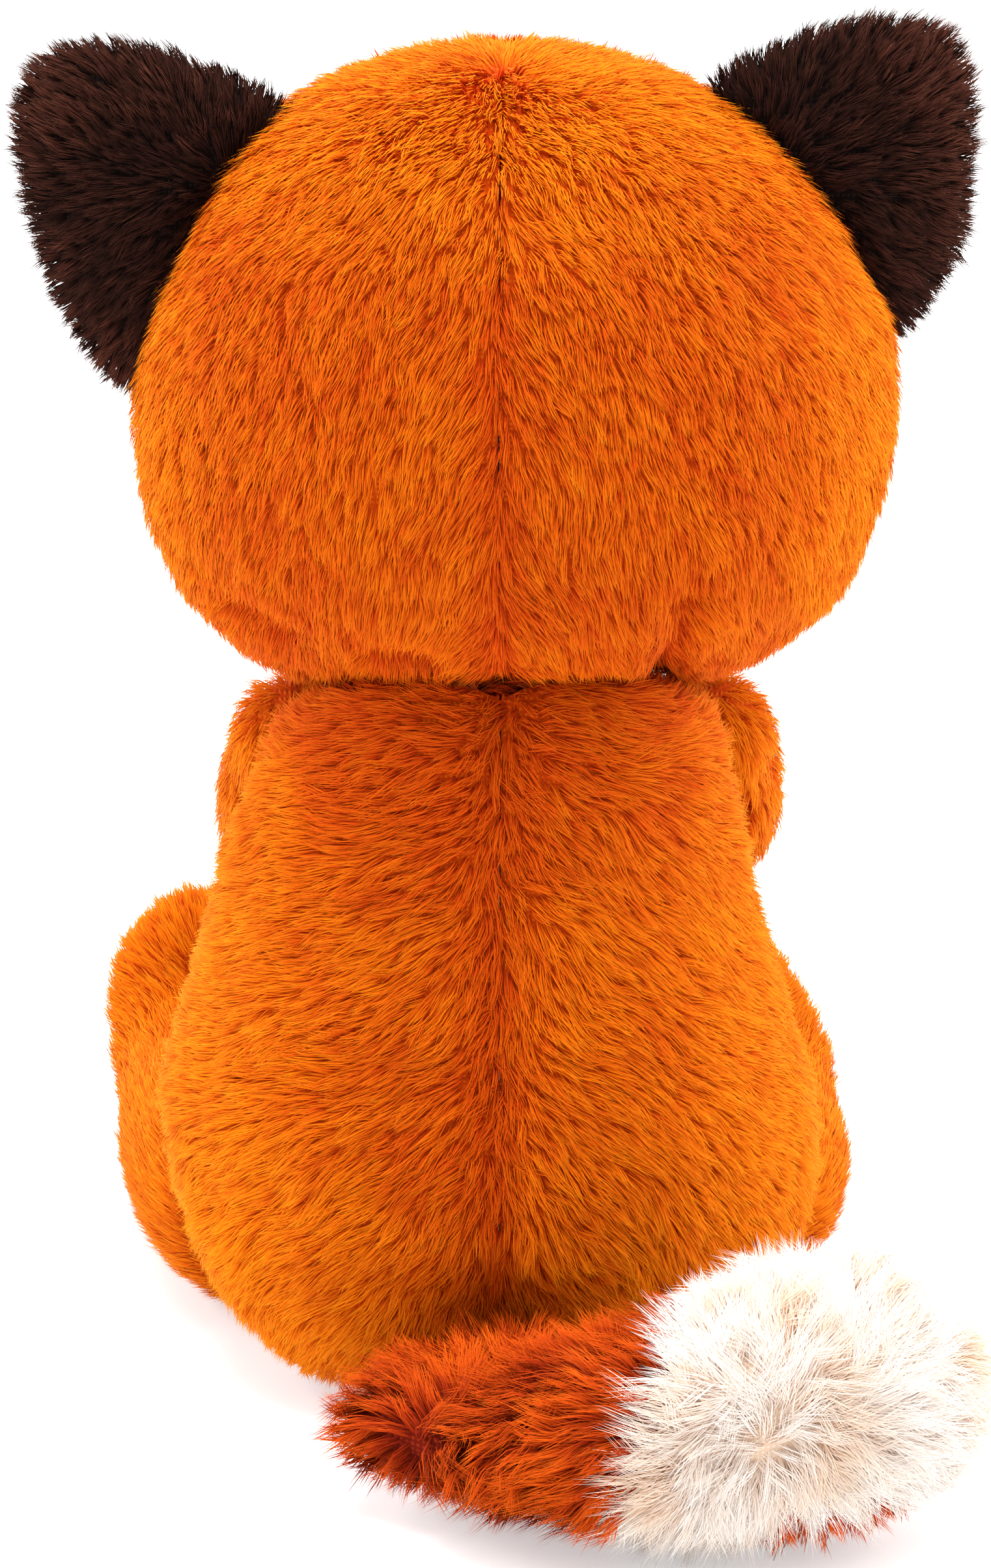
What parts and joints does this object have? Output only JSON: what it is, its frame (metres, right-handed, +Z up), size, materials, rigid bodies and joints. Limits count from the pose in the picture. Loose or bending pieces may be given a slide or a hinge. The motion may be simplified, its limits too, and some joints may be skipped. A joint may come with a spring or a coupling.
{
  "type": "plush fox",
  "caption": "Seated stuffed plush fox with flared dark ears, a pale face and belly, and a bushy pale-tipped tail curled behind it.",
  "frame": {"origin": "middle of the flat seat, on the surface that the toy sits on", "axes": "+Z up, -Y the way the face looks, +X to the fox's own left"},
  "size_m": [0.1646, 0.2204, 0.2344],
  "materials": {
    "orange_plush": "short plush, matte",
    "deep_orange_plush": "long plush, matte",
    "brown_plush": "short plush, matte",
    "cream_plush": "plush, matte",
    "polyester_filling": "loose fibre",
    "pellet_bag_cloth": "plain woven",
    "black_button": "glossy",
    "washer_plastic": "plain"
  },
  "bodies": {
    "body": {"back_panel_left": "orange_plush", "back_panel_right": "orange_plush", "belly_panel": "cream_plush", "seat_panel": "orange_plush", "body_filling": "polyester_filling", "pellet_bag": "pellet_bag_cloth"},
    "head": {"head_back_left": "orange_plush", "head_back_right": "orange_plush", "forehead": "orange_plush", "cheek_left": "cream_plush", "cheek_right": "cream_plush", "snout": "cream_plush", "head_filling": "polyester_filling", "nose": "black_button", "nose_washer": "washer_plastic", "eye_left": "black_button", "eye_left_washer": "washer_plastic", "eye_right": "black_button", "eye_right_washer": "washer_plastic"},
    "ear_left_body": {"ear_back_left": "brown_plush", "ear_lining_left": "brown_plush"},
    "arm_left_body": {"arm_left": "orange_plush", "paw_left": "brown_plush", "arm_filling_left": "polyester_filling"},
    "leg_left_body": {"leg_left": "orange_plush", "sole_left": "brown_plush", "leg_filling_left": "polyester_filling"},
    "ear_right_body": {"ear_back_right": "brown_plush", "ear_lining_right": "brown_plush"},
    "arm_right_body": {"arm_right": "orange_plush", "paw_right": "brown_plush", "arm_filling_right": "polyester_filling"},
    "leg_right_body": {"leg_right": "orange_plush", "sole_right": "brown_plush", "leg_filling_right": "polyester_filling"},
    "tail_body": {"tail_base": "deep_orange_plush", "tail_brush": "cream_plush", "tail_filling": "polyester_filling"}
  },
  "joints": [
    {"name": "head_turn", "type": "hinge", "parent": "body", "child": "head", "pos_m": [0, 0, 0.123], "axis": [0, 0, 1], "range_deg": [-20, 20], "stiffness_Nm_per_rad": 0.15},
    {"name": "ear_left_flex", "type": "hinge", "parent": "head", "child": "ear_left_body", "pos_m": [0.051, -0.002, 0.202], "axis": [0.7314, 0, -0.682], "range_deg": [-10, 10], "stiffness_Nm_per_rad": 0.012},
    {"name": "arm_left_swing", "type": "hinge", "parent": "body", "child": "arm_left_body", "pos_m": [0.036, -0.012, 0.1075], "axis": [-1, 0, 0], "range_deg": [0, 30], "stiffness_Nm_per_rad": 0.04},
    {"name": "leg_left_lift", "type": "hinge", "parent": "body", "child": "leg_left_body", "pos_m": [0.039, -0.008, 0.024], "axis": [-1, 0, 0], "range_deg": [0, 16], "stiffness_Nm_per_rad": 0.15},
    {"name": "ear_right_flex", "type": "hinge", "parent": "head", "child": "ear_right_body", "pos_m": [-0.051, -0.002, 0.202], "axis": [-0.7314, 0, -0.682], "range_deg": [-10, 10], "stiffness_Nm_per_rad": 0.012},
    {"name": "arm_right_swing", "type": "hinge", "parent": "body", "child": "arm_right_body", "pos_m": [-0.036, -0.012, 0.1075], "axis": [-1, 0, 0], "range_deg": [0, 30], "stiffness_Nm_per_rad": 0.04},
    {"name": "leg_right_lift", "type": "hinge", "parent": "body", "child": "leg_right_body", "pos_m": [-0.039, -0.008, 0.024], "axis": [-1, 0, 0], "range_deg": [0, 16], "stiffness_Nm_per_rad": 0.15},
    {"name": "tail_swing", "type": "hinge", "parent": "body", "child": "tail_body", "pos_m": [0, 0.043, 0.02], "axis": [0, 0, -1], "range_deg": [0, 35], "stiffness_Nm_per_rad": 0.12}
  ]
}
